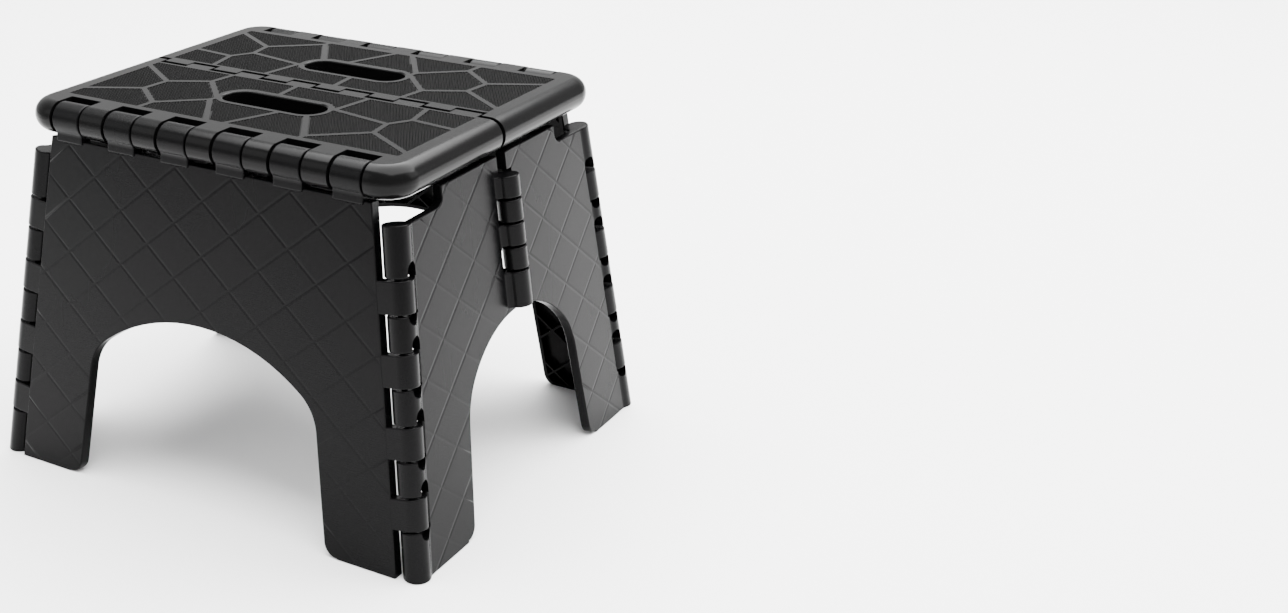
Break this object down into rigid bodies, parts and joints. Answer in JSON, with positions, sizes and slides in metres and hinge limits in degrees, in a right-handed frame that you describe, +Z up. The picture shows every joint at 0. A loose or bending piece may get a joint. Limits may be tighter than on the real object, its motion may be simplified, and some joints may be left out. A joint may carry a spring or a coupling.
{
  "type": "folding step stool",
  "caption": "Low folding step stool: moulded plastic panels on hinge pins, a split top with hand slots, arched splayed sides; folds flat by lifting the middle.",
  "frame": {"origin": "on the floor, under the middle of the step", "axes": "+Z up, +X to the right along the front edge, -Y towards the front"},
  "size_m": [0.3154, 0.268, 0.228],
  "materials": {
    "black_satin": "satin moulded polypropylene",
    "black_textured": "finely textured moulded polypropylene",
    "black_gloss": "smooth semi-gloss polypropylene"
  },
  "bodies": {
    "front_leg": {"front_leg_panel": "black_satin", "front_top_pin": "black_gloss"},
    "front_top": {"front_top_plate": "black_textured", "centre_seam_pin": "black_gloss"},
    "back_top": {"back_top_plate": "black_textured", "back_top_pin": "black_gloss"},
    "back_leg": {"back_leg_panel": "black_satin"},
    "right_front_side": {"right_front_side_panel": "black_satin", "right_front_corner_pin": "black_gloss", "right_middle_pin": "black_gloss"},
    "left_front_side": {"left_front_side_panel": "black_satin", "left_front_corner_pin": "black_gloss"},
    "right_back_side": {"right_back_side_panel": "black_satin", "right_back_corner_pin": "black_gloss"},
    "left_back_side": {"left_back_side_panel": "black_satin", "left_back_corner_pin": "black_gloss", "left_middle_pin": "black_gloss"}
  },
  "joints": [
    {"name": "front_top_hinge", "type": "hinge", "parent": "front_leg", "child": "front_top", "pos_m": [0, -0.10225, 0.21825], "axis": [1, 0, 0], "range_deg": [0, 82.47]},
    {"name": "centre_seam", "type": "hinge", "parent": "front_top", "child": "back_top", "pos_m": [0, 0, 0.206], "axis": [-1, 0, 0], "range_deg": [0, 177]},
    {"name": "back_top_hinge", "type": "hinge", "parent": "back_top", "child": "back_leg", "pos_m": [0, 0.10225, 0.21825], "axis": [1, 0, 0], "range_deg": [0, 82.47]},
    {"name": "right_front_corner", "type": "hinge", "parent": "front_leg", "child": "right_front_side", "pos_m": [0.1497, -0.12564, 0], "axis": [-0.1301, 0.1214, 0.9841], "range_deg": [0, 89.17]},
    {"name": "left_front_corner", "type": "hinge", "parent": "front_leg", "child": "left_front_side", "pos_m": [-0.1497, -0.12564, 0], "axis": [-0.1301, -0.1214, -0.9841], "range_deg": [0, 89.17]},
    {"name": "right_back_corner", "type": "hinge", "parent": "back_leg", "child": "right_back_side", "pos_m": [0.1497, 0.12564, 0], "axis": [0.1301, 0.1214, -0.9841], "range_deg": [0, 89.17]},
    {"name": "left_back_corner", "type": "hinge", "parent": "back_leg", "child": "left_back_side", "pos_m": [-0.1497, 0.12564, 0], "axis": [0.1301, -0.1214, 0.9841], "range_deg": [0, 89.17]}
  ],
  "couplings": [
    {"joint": "centre_seam", "follows": "front_top_hinge", "ratio": 2.1462},
    {"joint": "back_top_hinge", "follows": "front_top_hinge", "ratio": 1},
    {"joint": "right_front_corner", "follows": "front_top_hinge", "ratio": 1.0812},
    {"joint": "left_front_corner", "follows": "front_top_hinge", "ratio": 1.0812},
    {"joint": "right_back_corner", "follows": "front_top_hinge", "ratio": 1.0812},
    {"joint": "left_back_corner", "follows": "front_top_hinge", "ratio": 1.0812}
  ]
}
